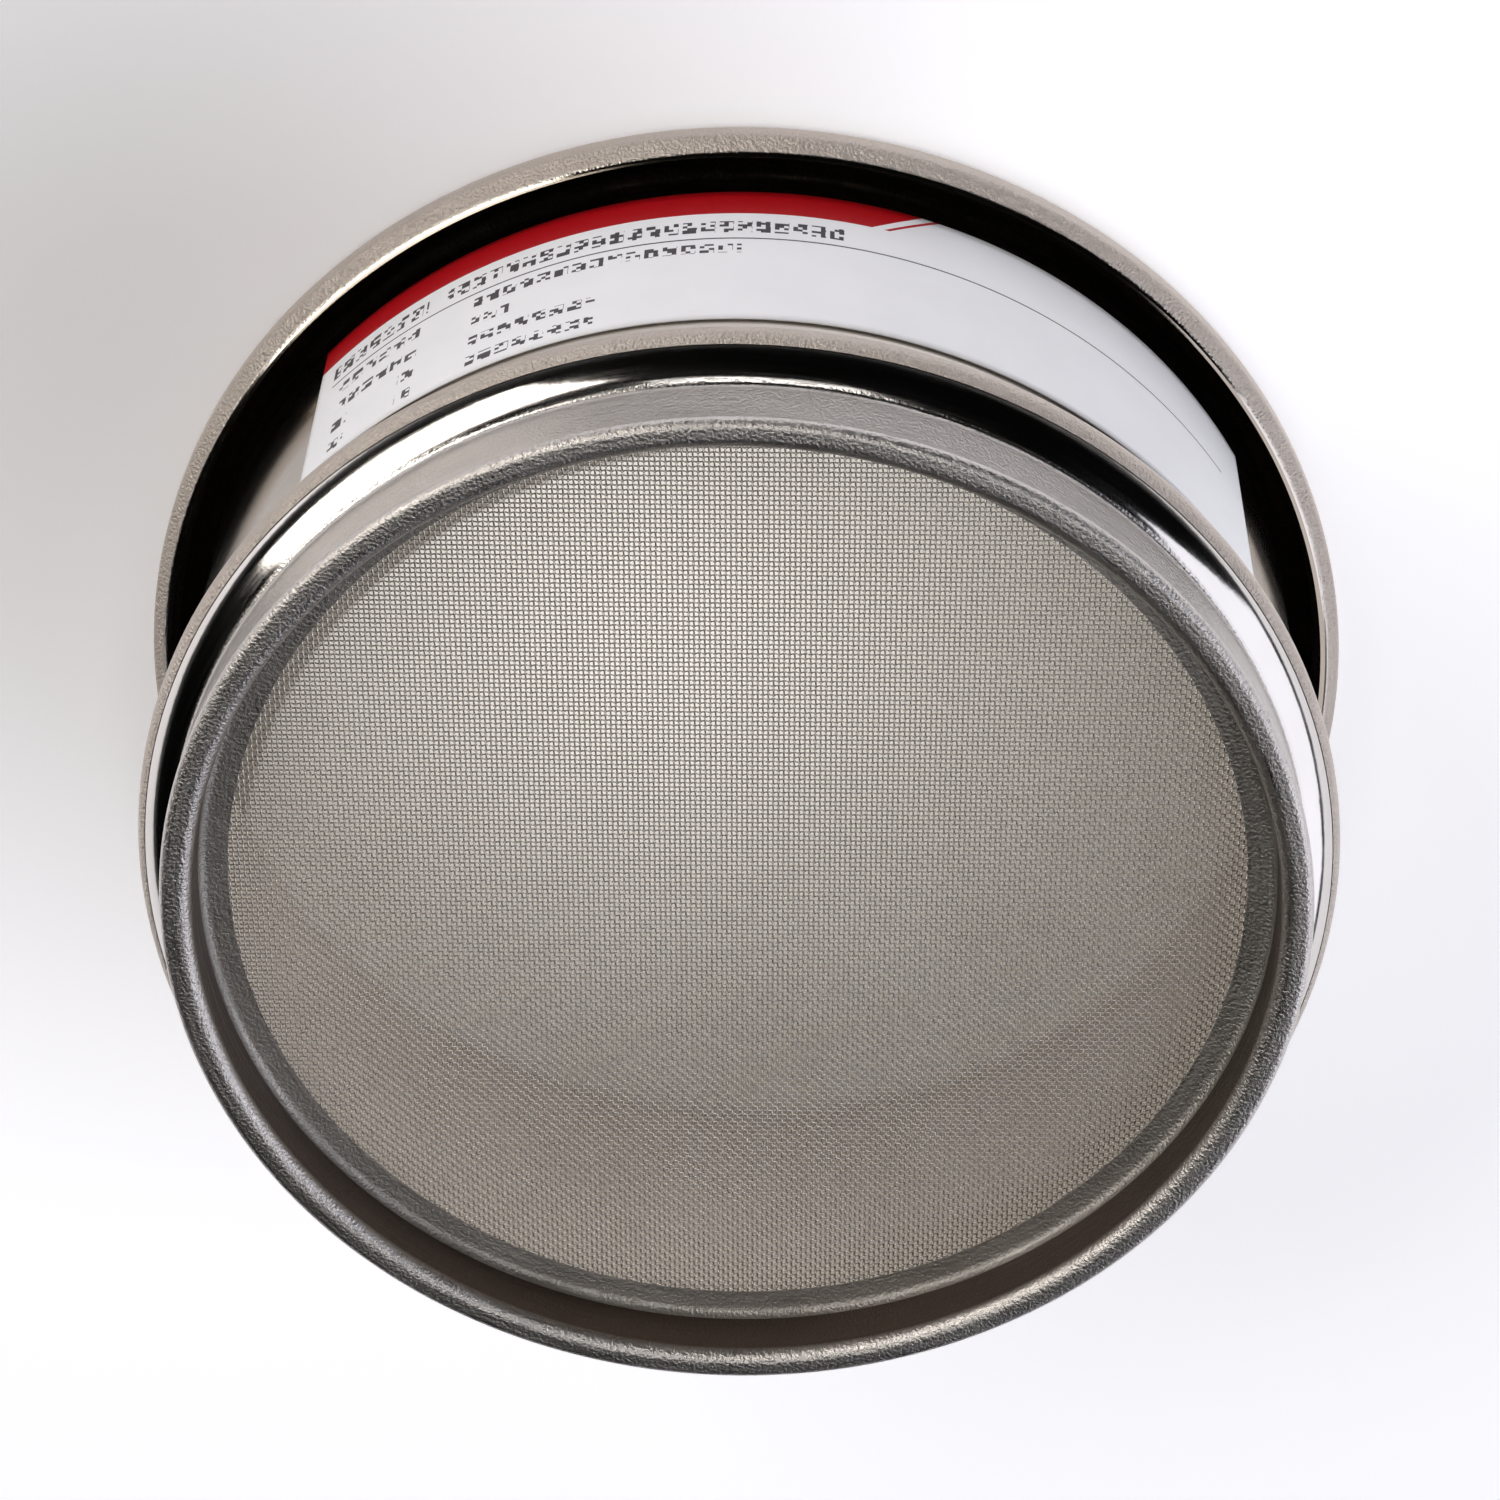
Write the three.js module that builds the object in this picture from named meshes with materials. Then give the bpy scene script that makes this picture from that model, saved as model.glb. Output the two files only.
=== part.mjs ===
// A small round test sieve for soil: a spun steel body with a rolled rim and a bead, a nesting skirt, a woven
// wire cloth soldered across the skirt and held from above by a pressed ring, and a paper label on the wall.
// Millimetres. +Z points to the open rim, and the lip of the skirt rests on Z = 0. The label faces -Y.

import * as THREE from 'three';

const QUARTER = Math.PI / 2;

// Overall sizes
const HEIGHT = 45;
const SKIRT_RADIUS = 50; // the lip, which drops into the mouth of the sieve below
const FACETS = 48; // flat faces round every turned piece

// Body: wall, mouth and rim
const SHEET = 0.6;
const WALL_OFFSET = 1.2; // wall's outer face beyond the lip
const RIM_PROJECTION = 4.8; // rim beyond the wall
const RIM_ROUND = 1.1;
const RIM_FLAT = 0.9; // flat ring on top of the rim
const RIM_FACE = 1.1; // upright outside face of the rim
const RIM_FOOT_ROUND = 0.8;
const RIM_FOOT_TURN = Math.PI / 3.6;
const RIM_RETURN = 1.5; // from the foot's bend to the raw edge
const FLARE_SLOPE = QUARTER / 2;
const FLARE_BEND = 3;

// Body: bead
const BEAD_ROUND = 1.6;
const BEAD_PROJECTION = 1.9; // bead beyond the wall
const BEAD_HEIGHT = 10.4;
const BEAD_BEND = 0.4; // hollow between the bead and the wall
const BEAD_EDGE = -0.99; // direction from the bead's centre to its lower edge

// Skirt: shoulder, wall, lip and upstand
const SHOULDER_HEIGHT = 6.54;
const SHOULDER_BEND = 0.5;
const SHOULDER_ROUND = 5;
const SEAM_GAP = 0.1; // between the top of the shoulder and the edge of the bead
const WAIST = 0.3; // skirt's wall inside its lip
const LIP_SLOPE = Math.PI / 12;
const LIP_OUTER_ROUND = 0.8;
const LIP_FLAT = 0.7;
const LIP_INNER_ROUND = 1.3;

// Cloth, solder and retaining ring
const CLOTH_HEIGHT = 6.3; // underside of the cloth, on top of the skirt's upstand
const CLOTH_THICKNESS = 0.4; // two wires that cross
const SOLDER_WIDTH = 2.5;
const SOLDER_DEPTH = 1;
const SOLDER_EDGE = 0.12;
const SOLDER_FILLET = 0.8;
const RING_SHEET = 0.4;
const RING_TOE = 0.5; // retaining ring's toe behind the solder's edge
const RING_COLLAR_FOOT = 12.8;
const RING_COLLAR = 1.2;
const RING_CLEARANCE = 0.15;

// Label
const LABEL_WIDTH = 96;
const LABEL_HEIGHT = 24.7;
const LABEL_THICKNESS = 0.15;
const LABEL_GAP = 0.1;
const LABEL_TOP_MARGIN = 0.15;
const LABEL_TURN = Math.PI / 36; // middle of the label, turned from -Y towards +X
const LABEL_STEPS = 24;

// Radii that follow from them
const wallOuter = SKIRT_RADIUS + WALL_OFFSET;
const rimOuter = wallOuter + RIM_PROJECTION;
const upstandInner = SKIRT_RADIUS - LIP_OUTER_ROUND - LIP_FLAT - LIP_INNER_ROUND;
const upstandOuter = upstandInner + SHEET;
const clothTop = CLOTH_HEIGHT + CLOTH_THICKNESS;
const openRadius = upstandInner - SOLDER_WIDTH;

const ARC_STEP = Math.PI / 8;

function point(radius, height) {
  return new THREE.Vector2(radius, height);
}

/** Points along an arc from one angle to another, with both ends. */
function arc(radius, height, r, from, to) {
  const steps = Math.max(2, Math.round(Math.abs(to - from) / ARC_STEP));
  const points = [];
  for (let i = 0; i <= steps; i += 1) {
    const angle = from + ((to - from) * i) / steps;
    points.push(point(radius + r * Math.cos(angle), height + r * Math.sin(angle)));
  }
  return points;
}

/** The point at a distance to the left of a path's corner, where the lines beside its two sides meet. */
function beside(before, here, after, distance) {
  const into = here.clone().sub(before ?? here);
  const out = (after ?? here).clone().sub(here);
  const a = (before ? into : out).normalize();
  const b = (after ? out : into).normalize();
  const normal = point(-a.y - b.y, a.x + b.x).normalize();
  return here.clone().addScaledVector(normal, distance / normal.dot(point(-a.y, a.x)));
}

/** A closed outline of bent sheet: a path along one face, and the other face a thickness to its left. */
function sheetOutline(path, thickness) {
  const other = path.map((here, i) => beside(path[i - 1], here, path[i + 1], thickness));
  return [...path, ...other.reverse(), path[0].clone()];
}

/** A solid turned about the Z axis from an outline. */
function turned(outline) {
  const geometry = new THREE.LatheGeometry(outline, FACETS);
  geometry.rotateX(QUARTER);
  return geometry;
}

// Where the flare's under face would meet the outside of the wall, and the bend between them.
const rimRoundRadius = rimOuter - RIM_ROUND;
const rimRoundHeight = HEIGHT - RIM_ROUND;
const mouthRadius = rimRoundRadius - RIM_FLAT;
const flareTurn = QUARTER + FLARE_SLOPE;
const flareRun = mouthRadius + (RIM_ROUND - SHEET) * Math.cos(flareTurn) - wallOuter;
const flareMeet = rimRoundHeight + (RIM_ROUND - SHEET) * Math.sin(flareTurn)
  - flareRun / Math.tan(FLARE_SLOPE);
const wallTop = flareMeet - FLARE_BEND * Math.tan(FLARE_SLOPE / 2);

const beadRadius = wallOuter + BEAD_PROJECTION - BEAD_ROUND;

/** The body: up from the edge of the bead, along the wall and the flare, and over the rim. */
function bodyOutline() {
  const across = wallOuter + BEAD_BEND - beadRadius;
  const bendTurn = Math.acos(across / (BEAD_ROUND + BEAD_BEND));
  const bendHeight = BEAD_HEIGHT + (BEAD_ROUND + BEAD_BEND) * Math.sin(bendTurn);
  const footRadius = rimOuter - RIM_FOOT_ROUND;
  const footHeight = rimRoundHeight - RIM_FACE;
  const foot = arc(footRadius, footHeight, RIM_FOOT_ROUND - SHEET, 0, -RIM_FOOT_TURN);
  const rawEdge = foot[foot.length - 1].clone().add(
    point(-RIM_RETURN * Math.sin(RIM_FOOT_TURN), -RIM_RETURN * Math.cos(RIM_FOOT_TURN)),
  );
  return sheetOutline([
    ...arc(beadRadius, BEAD_HEIGHT, BEAD_ROUND, BEAD_EDGE, bendTurn),
    ...arc(wallOuter + BEAD_BEND, bendHeight, BEAD_BEND, bendTurn + Math.PI, Math.PI).slice(1),
    ...arc(wallOuter + FLARE_BEND, wallTop, FLARE_BEND, Math.PI, Math.PI - FLARE_SLOPE),
    ...arc(mouthRadius, rimRoundHeight, RIM_ROUND - SHEET, flareTurn, QUARTER),
    ...arc(rimRoundRadius, rimRoundHeight, RIM_ROUND - SHEET, QUARTER, 0),
    ...foot,
    rawEdge,
  ], SHEET);
}

/** The skirt: down the upstand, round the lip, up the wall and out along the shoulder to the bead. */
function skirtOutline() {
  const lipRadius = SKIRT_RADIUS - LIP_OUTER_ROUND;
  const lip = arc(lipRadius, LIP_OUTER_ROUND, LIP_OUTER_ROUND, -QUARTER, LIP_SLOPE);
  const lipTop = lip[lip.length - 1];
  const waistRadius = SKIRT_RADIUS - WAIST;
  const waistHeight = lipTop.y + (lipTop.x - waistRadius) / Math.tan(LIP_SLOPE);
  // The shoulder's arc touches the bend and ends at the seam, just short of the bead's edge.
  const bendRadius = waistRadius + SHOULDER_BEND;
  const seamRadius = beadRadius + BEAD_ROUND * Math.cos(BEAD_EDGE) + SEAM_GAP * Math.sin(BEAD_EDGE);
  const seamHeight = BEAD_HEIGHT + BEAD_ROUND * Math.sin(BEAD_EDGE) - SEAM_GAP * Math.cos(BEAD_EDGE);
  const reach = SHOULDER_BEND + SHOULDER_ROUND;
  const span = Math.hypot(seamRadius - bendRadius, seamHeight - SHOULDER_HEIGHT);
  const lean = Math.acos((reach ** 2 + span ** 2 - SHOULDER_ROUND ** 2) / (2 * reach * span));
  const bendEnd = lean + Math.atan2(seamHeight - SHOULDER_HEIGHT, seamRadius - bendRadius);
  const bend = arc(bendRadius, SHOULDER_HEIGHT, SHOULDER_BEND, Math.PI, bendEnd);
  const shoulderRadius = bendRadius + reach * Math.cos(bendEnd);
  const shoulderCentre = SHOULDER_HEIGHT + reach * Math.sin(bendEnd);
  const shoulderEnd = Math.atan2(seamHeight - shoulderCentre, seamRadius - shoulderRadius);
  return sheetOutline([
    point(upstandInner, CLOTH_HEIGHT),
    ...arc(upstandInner + LIP_INNER_ROUND, LIP_INNER_ROUND, LIP_INNER_ROUND, -Math.PI, -QUARTER),
    ...lip,
    point(waistRadius, waistHeight),
    ...bend,
    ...arc(shoulderRadius, shoulderCentre, SHOULDER_ROUND, bendEnd - Math.PI, shoulderEnd).slice(1),
  ], SHEET);
}

/** The solder that runs out from the upstand under the edge of the cloth. */
function solderOutline() {
  const meniscus = arc(
    upstandInner - SOLDER_FILLET,
    CLOTH_HEIGHT - SOLDER_DEPTH,
    SOLDER_FILLET,
    0,
    QUARTER,
  );
  return [
    point(openRadius, CLOTH_HEIGHT),
    point(openRadius, CLOTH_HEIGHT - SOLDER_EDGE),
    ...meniscus.reverse(),
    point(upstandInner, CLOTH_HEIGHT),
    point(openRadius, CLOTH_HEIGHT),
  ];
}

/** A flat disc in place of the woven wires. */
function clothOutline() {
  return [
    point(0, CLOTH_HEIGHT),
    point(upstandOuter, CLOTH_HEIGHT),
    point(upstandOuter, clothTop),
    point(0, clothTop),
  ];
}

/** The retaining ring: a foot on the cloth, a cone over the bead's groove, and a collar against the wall. */
function retainingOutline() {
  const collar = wallOuter - SHEET - RING_CLEARANCE;
  return sheetOutline([
    point(openRadius + RING_TOE, clothTop),
    point(upstandOuter, clothTop),
    point(collar, RING_COLLAR_FOOT),
    point(collar, RING_COLLAR_FOOT + RING_COLLAR),
  ], RING_SHEET);
}

/** The label: a curved sheet on the straight part of the wall. */
function labelGeometry() {
  const inner = wallOuter + LABEL_GAP;
  const outer = inner + LABEL_THICKNESS;
  const half = LABEL_WIDTH / outer / 2;
  const middle = LABEL_TURN - QUARTER;
  const shape = new THREE.Shape();
  shape.absarc(0, 0, outer, middle - half, middle + half, false);
  shape.absarc(0, 0, inner, middle + half, middle - half, true);
  const geometry = new THREE.ExtrudeGeometry(shape, {
    depth: LABEL_HEIGHT,
    bevelEnabled: false,
    curveSegments: LABEL_STEPS,
  });
  geometry.translate(0, 0, wallTop - LABEL_TOP_MARGIN - LABEL_HEIGHT);
  return geometry;
}

function piece(name, geometry, color, roughness, metalness) {
  const mesh = new THREE.Mesh(geometry, new THREE.MeshStandardMaterial({ color, roughness, metalness }));
  mesh.name = name;
  return mesh;
}

const sieve = new THREE.Group();
sieve.add(
  piece('body_shell', turned(bodyOutline()), 0xb9b5b0, 0.3, 1),
  piece('skirt_ring', turned(skirtOutline()), 0xc4c2c0, 0.15, 1),
  piece('solder_seam', turned(solderOutline()), 0x8b8783, 0.55, 1),
  piece('wire_cloth', turned(clothOutline()), 0xa7a29c, 0.35, 1),
  piece('retaining_ring', turned(retainingOutline()), 0xa9a6a2, 0.3, 1),
  piece('label', labelGeometry(), 0xf3f3f5, 0.6, 0),
);

export default sieve;
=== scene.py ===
"""A small round test sieve for soil, in satin and polished stainless steel, with a woven wire cloth."""

import math

import bpy
from mathutils import Matrix, Vector


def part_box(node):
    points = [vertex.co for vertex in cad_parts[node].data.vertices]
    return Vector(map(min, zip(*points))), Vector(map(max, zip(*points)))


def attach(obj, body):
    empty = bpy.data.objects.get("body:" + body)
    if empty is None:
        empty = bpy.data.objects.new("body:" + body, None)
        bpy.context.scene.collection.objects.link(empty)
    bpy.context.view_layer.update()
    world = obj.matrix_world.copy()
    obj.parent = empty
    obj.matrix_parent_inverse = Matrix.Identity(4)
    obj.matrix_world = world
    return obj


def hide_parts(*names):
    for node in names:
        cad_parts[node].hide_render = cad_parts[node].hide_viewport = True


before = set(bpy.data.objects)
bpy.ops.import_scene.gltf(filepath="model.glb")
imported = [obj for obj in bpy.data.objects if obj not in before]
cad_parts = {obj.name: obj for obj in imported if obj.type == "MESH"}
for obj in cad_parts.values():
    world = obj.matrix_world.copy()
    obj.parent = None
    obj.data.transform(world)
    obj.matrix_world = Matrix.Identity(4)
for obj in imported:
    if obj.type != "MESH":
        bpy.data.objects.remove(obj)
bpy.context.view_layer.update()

MM = 0.001
QUARTER = math.pi / 2
MATH = "ShaderNodeMath"

# ---------------------------------------------------------------- sizes, in millimetres

body_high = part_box("body_shell")[1] / MM
cloth_low, cloth_high = (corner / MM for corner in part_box("wire_cloth"))
label_low, label_high = (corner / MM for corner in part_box("label"))

HEIGHT = body_high.z
RIM = body_high.x
CLOTH_FOOT = cloth_low.z
CLOTH_TOP = cloth_high.z
UPSTAND = cloth_high.x
SHEET = 0.6
SKIRT = 50.0
WALL = RIM - 4.8
UPSTAND_INNER = UPSTAND - SHEET
OPEN = UPSTAND_INNER - 2.5

RIM_ROUND = 1.1
RIM_FLAT = 0.9
RIM_FACE = 1.1
RIM_FOOT_ROUND = 0.8
RIM_FOOT_TURN = math.radians(50)
RIM_RETURN = 1.5
FLARE_SLOPE = math.radians(45)
FLARE_BEND = 3.0

BEAD_ROUND = 1.6
BEAD_CENTRE = WALL + 1.9 - BEAD_ROUND
BEAD_HEIGHT = 10.4
BEAD_BEND = 0.4
BEAD_EDGE = -0.99

SHOULDER_HEIGHT = 6.54
SHOULDER_BEND = 0.5
SHOULDER_ROUND = 5.0
SEAM_GAP = 0.1
WAIST = 0.3
LIP_SLOPE = math.radians(15)
LIP_OUTER_ROUND = 0.8
LIP_INNER_ROUND = 1.3

RING_SHEET = 0.4
RING_TOE = OPEN + 0.5
RING_COLLAR_FOOT = 12.8
RING_COLLAR = 1.2

WIRE = 0.2
PITCH = 0.45  # wire to wire, so the openings are a quarter of a millimetre
WEAVE_TURN = math.radians(-1.7)

LABEL_WIDTH = 96.0
BAND_END = 32.0  # where the red band's slanted end would meet the label's foot
PRINT_CELL = 1.6
PRINT_SPECK = (0.4, 0.42, 1.0)
LABEL_TURN = math.radians(5)

# Where a finish begins and where it is full, as radii and heights
SATIN_RIM = RIM - 1.3, RIM - 1.0
SATIN_BEAD = 12.6, 12.2
MILL_FINISH = WALL - SHEET + 0.2, WALL - SHEET + 0.1
BRUSHED = 7.1, 6.7
BROWNED_RADIUS = UPSTAND_INNER + 0.6, UPSTAND_INNER + 0.1
BROWNED_HEIGHT = 0.4, 1.2
GRAIN, RIPPLE, STAIN = 0.3, 2.5, 9


# ---------------------------------------------------------------- nodes

def node(tree, kind, sockets=None, **settings):
    """Adds a node to a tree, with its settings, and its inputs set to values or linked to outputs."""
    made = tree.nodes.new(kind)
    for name, value in settings.items():
        setattr(made, name, value)
    for socket, value in (sockets or {}).items():
        if isinstance(value, bpy.types.NodeSocket):
            tree.links.new(value, made.inputs[socket])
        else:
            made.inputs[socket].default_value = value
    return made


def linear(code):
    """An sRGB hex colour as linear red, green, blue and alpha."""
    parts = [int(code[i : i + 2], 16) / 255 for i in (1, 3, 5)]
    return (*[c / 12.92 if c <= 0.04045 else ((c + 0.055) / 1.055) ** 2.4 for c in parts], 1.0)


# ---------------------------------------------------------------- sections of the turned pieces

def arc(radius, height, r, start, end, step=math.radians(8)):
    """Points along an arc, with both ends."""
    steps = max(3, round(abs(end - start) / step))
    angles = [start + (end - start) * i / steps for i in range(steps + 1)]
    return [Vector((radius + r * math.cos(a), height + r * math.sin(a))) for a in angles]


def beside(path, i, distance):
    """The point at a distance to the left of a path's corner, where the lines beside its sides meet."""
    here = path[i]
    into = here - path[i - 1] if i else path[1] - here
    out = path[i + 1] - here if i + 1 < len(path) else into
    a, b = into.normalized(), out.normalized()
    normal = Vector((-a.y - b.y, a.x + b.x)).normalized()
    return here + normal * (distance / normal.dot(Vector((-a.y, a.x))))


def sheet_outline(path, thickness):
    """A closed outline of bent sheet: a path along one face, and the other face to its left."""
    other = [beside(path, i, thickness) for i in range(len(path))]
    return path + other[::-1] + path[:1]


def body_path():
    """The body's outer face, and where on it the roll begins and ends, in millimetres along it."""
    bend_turn = math.acos((WALL + BEAD_BEND - BEAD_CENTRE) / (BEAD_ROUND + BEAD_BEND))
    bend_height = BEAD_HEIGHT + (BEAD_ROUND + BEAD_BEND) * math.sin(bend_turn)
    rim_centre, rim_height = RIM - RIM_ROUND, HEIGHT - RIM_ROUND
    mouth = rim_centre - RIM_FLAT
    flare_turn = QUARTER + FLARE_SLOPE
    inner = RIM_ROUND - SHEET
    flare_run = mouth + inner * math.cos(flare_turn) - WALL
    flare_meet = rim_height + inner * math.sin(flare_turn) - flare_run / math.tan(FLARE_SLOPE)
    wall_top = flare_meet - FLARE_BEND * math.tan(FLARE_SLOPE / 2)
    foot = arc(RIM - RIM_FOOT_ROUND, rim_height - RIM_FACE, RIM_FOOT_ROUND - SHEET, 0, -RIM_FOOT_TURN)
    raw_edge = foot[-1] - RIM_RETURN * Vector((math.sin(RIM_FOOT_TURN), math.cos(RIM_FOOT_TURN)))
    path = arc(BEAD_CENTRE, BEAD_HEIGHT, BEAD_ROUND, BEAD_EDGE, bend_turn)
    path += arc(WALL + BEAD_BEND, bend_height, BEAD_BEND, bend_turn + math.pi, math.pi)[1:]
    path += arc(WALL + FLARE_BEND, wall_top, FLARE_BEND, math.pi, math.pi - FLARE_SLOPE)
    flare_end = len(path)
    path += arc(mouth, rim_height, inner, flare_turn, QUARTER)
    path += arc(rim_centre, rim_height, inner, QUARTER, 0)
    path += foot + [raw_edge]
    lengths = [(b - a).length for a, b in zip(path, path[1:])]
    return path, sum(lengths[:flare_end]), sum(lengths)


body_face, ROLL_START, ROLL_END = body_path()


def skirt_outline():
    lip = arc(SKIRT - LIP_OUTER_ROUND, LIP_OUTER_ROUND, LIP_OUTER_ROUND, -QUARTER, LIP_SLOPE)
    waist = SKIRT - WAIST
    waist_height = lip[-1].y + (lip[-1].x - waist) / math.tan(LIP_SLOPE)
    bend = Vector((waist + SHOULDER_BEND, SHOULDER_HEIGHT))
    edge = Vector((math.cos(BEAD_EDGE), math.sin(BEAD_EDGE)))
    seam = Vector((BEAD_CENTRE, BEAD_HEIGHT)) + edge * BEAD_ROUND + SEAM_GAP * Vector((edge.y, -edge.x))
    reach = SHOULDER_BEND + SHOULDER_ROUND
    span = (seam - bend).length
    lean = math.acos((reach**2 + span**2 - SHOULDER_ROUND**2) / (2 * reach * span))
    bend_end = lean + math.atan2(*(seam - bend).yx)
    shoulder = bend + reach * Vector((math.cos(bend_end), math.sin(bend_end)))
    sweep = bend_end - math.pi, math.atan2(*(seam - shoulder).yx)
    path = [Vector((UPSTAND_INNER, CLOTH_FOOT))]
    path += arc(UPSTAND_INNER + LIP_INNER_ROUND, LIP_INNER_ROUND, LIP_INNER_ROUND, -math.pi, -QUARTER)
    path += lip + [Vector((waist, waist_height))]
    path += arc(*bend, SHOULDER_BEND, math.pi, bend_end)
    path += arc(*shoulder, SHOULDER_ROUND, *sweep, step=math.radians(4))[1:]
    return sheet_outline(path, SHEET)


def solder_outline():
    fillet, depth, edge = 0.8, 1.0, 0.12
    meniscus = arc(UPSTAND_INNER - fillet, CLOTH_FOOT - depth, fillet, QUARTER, 0)
    start = Vector((OPEN, CLOTH_FOOT))
    return [start, start - Vector((0, edge)), *meniscus, Vector((UPSTAND_INNER, CLOTH_FOOT)), start]


def ring_outline():
    collar = WALL - SHEET - 0.15
    path = [
        Vector((RING_TOE, CLOTH_TOP)),
        Vector((UPSTAND, CLOTH_TOP)),
        Vector((collar, RING_COLLAR_FOOT)),
        Vector((collar, RING_COLLAR_FOOT + RING_COLLAR)),
    ]
    return sheet_outline(path, RING_SHEET)


# ---------------------------------------------------------------- geometry trees

def new_tree(name, inputs):
    """An empty geometry tree with named inputs, and its group input node."""
    tree = bpy.data.node_groups.new(name, "GeometryNodeTree")
    tree.interface.new_socket("Geometry", in_out="OUTPUT", socket_type="NodeSocketGeometry")
    tree.interface.new_socket("Geometry", in_out="INPUT", socket_type="NodeSocketGeometry")
    for label, kind in inputs.items():
        tree.interface.new_socket(label, in_out="INPUT", socket_type=kind)
    return tree, node(tree, "NodeGroupInput").outputs


def close_tree(tree, geometry, material):
    """Realizes a tree's geometry, gives it its material and sends it out."""
    real = node(tree, "GeometryNodeRealizeInstances", {0: geometry}).outputs[0]
    painted = node(tree, "GeometryNodeSetMaterial", {"Geometry": real, "Material": material})
    node(tree, "NodeGroupOutput", {0: painted.outputs[0]})


def turned_tree():
    """Turns an outline, given as a row of points in radius and height, about the Z axis."""
    tree, given = new_tree("turned piece", {
        "Rows": "NodeSocketInt",
        "Steps": "NodeSocketInt",
        "Sharp angle": "NodeSocketFloat",
        "Material": "NodeSocketMaterial",
    })
    spans = node(tree, MATH, {0: given["Rows"], 1: 1}, operation="SUBTRACT").outputs[0]
    grid = node(tree, "GeometryNodeMeshGrid", {
        "Size X": 2 * math.pi,
        "Size Y": spans,
        "Vertices X": node(tree, MATH, {0: given["Steps"], 1: 1}, operation="ADD").outputs[0],
        "Vertices Y": given["Rows"],
    })
    place = node(tree, "GeometryNodeInputPosition").outputs[0]
    flat = node(tree, "ShaderNodeSeparateXYZ", {0: place}).outputs
    row = node(tree, MATH, {
        0: node(tree, MATH, {
            0: flat["Y"],
            1: node(tree, MATH, {0: spans, 1: 2}, operation="DIVIDE").outputs[0],
        }, operation="ADD").outputs[0],
    }, operation="ROUND").outputs[0]
    outline = node(tree, "GeometryNodeSampleIndex", {
        "Geometry": given["Geometry"],
        "Value": place,
        "Index": row,
    }, data_type="FLOAT_VECTOR")
    section = node(tree, "ShaderNodeSeparateXYZ", {0: outline.outputs[0]}).outputs
    seat = node(tree, "ShaderNodeCombineXYZ", {
        "X": node(tree, MATH, {
            0: section["X"],
            1: node(tree, MATH, {0: flat["X"]}, operation="COSINE").outputs[0],
        }, operation="MULTIPLY").outputs[0],
        "Y": node(tree, MATH, {
            0: section["X"],
            1: node(tree, MATH, {0: flat["X"]}, operation="SINE").outputs[0],
        }, operation="MULTIPLY").outputs[0],
        "Z": section["Z"],
    }).outputs[0]
    print_place = node(tree, "ShaderNodeCombineXYZ", {"X": flat["X"], "Y": section["Y"]}).outputs[0]
    mapped = node(tree, "GeometryNodeStoreNamedAttribute", {
        "Geometry": grid.outputs["Mesh"],
        "Name": "UVMap",
        "Value": print_place,
    }, data_type="FLOAT2", domain="CORNER")
    bent = node(tree, "GeometryNodeSetPosition", {"Geometry": mapped.outputs[0], "Position": seat})
    closed = node(tree, "GeometryNodeMergeByDistance", {
        "Geometry": bent.outputs[0],
        "Distance": 0.001 * MM,
    })
    smooth = node(tree, "GeometryNodeSetShadeSmooth", {"Geometry": closed.outputs[0]})
    sharp = node(tree, "FunctionNodeCompare", {
        0: node(tree, "GeometryNodeInputMeshEdgeAngle").outputs["Unsigned Angle"],
        1: given["Sharp angle"],
    }, operation="GREATER_THAN")
    crisp = node(tree, "GeometryNodeSetShadeSmooth", {
        "Geometry": smooth.outputs[0],
        "Selection": sharp.outputs[0],
        "Shade Smooth": False,
    }, domain="EDGE")
    close_tree(tree, crisp.outputs[0], given["Material"])
    return tree


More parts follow.
